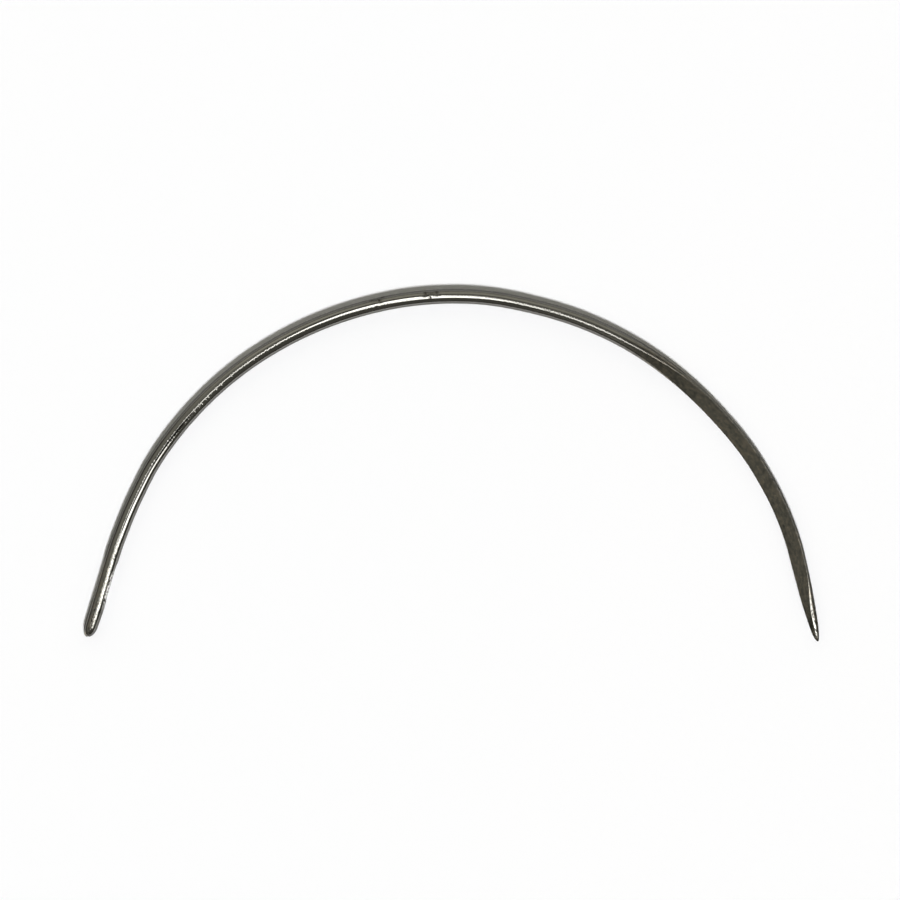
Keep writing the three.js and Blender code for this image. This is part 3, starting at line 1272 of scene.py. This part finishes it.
@dataclass(frozen=True)
class PaleFloor:
    """A plain white table top, in metres."""

    width: float = 8.0
    colour: Colour = (0.965, 0.965, 0.965)
    roughness: float = 0.9
    gap: float = 0.00001

    def build(self) -> None:
        """Lay the floor under the needle."""
        half = self.width / 2
        turns = ((-half, -half), (half, -half), (half, half), (-half, half))
        corners = [(x, y, -self.gap) for x, y in turns]
        mesh = bpy.data.meshes.new("floor")
        mesh.from_pydata(corners, [], [(0, 1, 2, 3)])
        mesh.materials.append(self.material())
        linked("floor", mesh)

    def material(self) -> bpy.types.Material:
        """Mix the floor's matt white.

        Returns:
            The material.
        """
        made = bpy.data.materials.new("pale_floor")
        made.use_nodes = True
        graph = Graph(made.node_tree)
        inputs = {"Base Color": opaque(self.colour), "Roughness": self.roughness, "Specular IOR Level": 0.0}
        shader = graph.node("ShaderNodeBsdfPrincipled", {}, inputs)
        graph.node("ShaderNodeOutputMaterial", {}, {"Surface": shader})
        return made


def towards(azimuth: float, lean: float) -> Vector:
    """A direction, from its bearing round Z from X and its lean from upright, in degrees."""
    bearing, tilt = math.radians(azimuth), math.radians(lean)
    return Vector((math.sin(tilt) * math.cos(bearing), math.sin(tilt) * math.sin(bearing), math.cos(tilt)))


@dataclass(frozen=True)
class KeyLamp:
    """The lamp that gives the shadow, in degrees."""

    azimuth: float = -80.0
    lean: float = 29.0
    width: float = 11.0
    strength: float = 3.03
    colour: Colour = (0.97, 0.975, 1.0)

    def build(self) -> None:
        """Hang the lamp, which lights the floor and leaves no glint on the steel."""
        light = bpy.data.lights.new("key_lamp", "SUN")
        light.energy = self.strength
        light.color = self.colour
        light.angle = math.radians(self.width)
        lamp = linked("key_lamp", light)
        lamp.visible_glossy = False
        lamp.rotation_euler = towards(self.azimuth, self.lean).to_track_quat("Z", "Y").to_euler()


@dataclass(frozen=True)
class LampPanel:
    """A flat panel that faces the needle and shows only as a glint on it, in metres and degrees."""

    name: str
    middle: tuple[float, float, float]
    bearing: float
    width: float
    length: float
    brightness: float

    def build(self) -> None:
        """Hang the panel, its long side on the bearing, so that its surface has the wanted brightness."""
        light = bpy.data.lights.new(self.name, "AREA")
        light.shape = "RECTANGLE"
        light.size = self.width
        light.size_y = self.length
        light.energy = self.brightness * math.pi * (self.width * self.length)
        lamp = linked(self.name, light)
        lamp.visible_diffuse = False
        back = Vector(self.middle).normalized()
        side = towards(self.bearing, 90.0).cross(back).normalized()
        face = Matrix((side, back.cross(side), back)).transposed()
        lamp.matrix_world = Matrix.Translation(self.middle) @ face.to_4x4()


@dataclass(frozen=True)
class Surroundings:
    """The room that the steel reflects: dim, with a paler wall past the bow."""

    dim: float = 0.117
    wall: float = 0.353
    left: float = 0.19
    tint: Colour = (1.0, 0.98, 0.87)
    wall_rise: Span = (0.46, 0.75)
    left_fall: Span = (-0.42, -0.15)
    left_rise: Span = (0.35, 0.65)

    def build(self) -> None:
        """Make the room."""
        world = bpy.data.worlds.new("room")
        bpy.context.scene.world = world
        world.use_nodes = True
        graph = Graph(world.node_tree)
        way = graph.node("ShaderNodeTexCoord", {}, {}, "Generated")
        x = graph.node("ShaderNodeSeparateXYZ", {}, {0: way}, "X")
        left = x.fall(*self.left_fall) * x.part("Z").rise(*self.left_rise)
        level = self.dim + self.wall * x.part("Y").rise(*self.wall_rise) + self.left * left
        room = graph.node("ShaderNodeBackground", {}, {"Color": opaque(self.tint), "Strength": level})
        graph.node("ShaderNodeOutputWorld", {}, {"Surface": room})


@dataclass(frozen=True)
class OverheadCamera:
    """The camera straight above the needle, in millimetres and degrees."""

    height: float = 700.0
    frame_width: float = 125.24
    over_x: float = -0.21
    over_y: float = 1.965
    roll: float = 0.35
    sensor: float = 36.0

    def build(self, needle_middle: float) -> None:
        """Hang the camera.

        Args:
            needle_middle: How high the middle of the wire lies, in millimetres.
        """
        lens = bpy.data.cameras.new("overhead_camera")
        lens.sensor_width = self.sensor
        lens.lens = self.sensor * (self.height - needle_middle) / self.frame_width
        camera = linked("overhead_camera", lens)
        camera.location = Vector((self.over_x, self.over_y, self.height)) * MM
        camera.rotation_euler = (0.0, 0.0, math.radians(self.roll))
        bpy.context.scene.camera = camera


@dataclass(frozen=True)
class Studio:
    """The floor, lamps, room and camera round the needle."""

    floor: PaleFloor = field(default_factory=PaleFloor)
    key: KeyLamp = field(default_factory=KeyLamp)
    room: Surroundings = field(default_factory=Surroundings)
    camera: OverheadCamera = field(default_factory=OverheadCamera)
    panels: tuple[LampPanel, ...] = (
        LampPanel(
            name="strip_lamp", middle=(-0.04, -0.06, 1.5), bearing=97.0,
            width=0.127, length=1.08, brightness=4.0,
        ),
        LampPanel(
            name="crown_panel", middle=(0.03, 0.29, 1.47), bearing=84.0,
            width=0.16, length=0.4, brightness=0.75,
        ),
        LampPanel(
            name="side_panel", middle=(0.654, -0.288, 1.319), bearing=-36.6,
            width=0.406, length=0.989, brightness=4.2,
        ),
    )

    def build(self, needle_middle: float) -> None:
        """Set the studio up.

        Args:
            needle_middle: How high the middle of the wire lies, in millimetres.
        """
        bpy.context.scene.view_settings.view_transform = "Standard"
        self.floor.build()
        self.key.build()
        for panel in self.panels:
            panel.build()
        self.room.build()
        self.camera.build(needle_middle)


def main() -> None:
    """Build the needle and its studio."""
    logging.basicConfig(level=logging.INFO, format="%(name)s: %(message)s")
    needle = Needle()
    piece = needle.build(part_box(CadNode.SHANK.value))
    needle.dress(piece, NeedleSteel())
    nodes = ", ".join(node.value for node in CadNode)
    log.info("%s: %d faces, for %s", piece.name, len(piece.data.polygons), nodes)
    Studio().build(needle.wire.radius)
    log.info("studio: floor, lamps, room and camera")


if __name__ == "__main__":
    main()
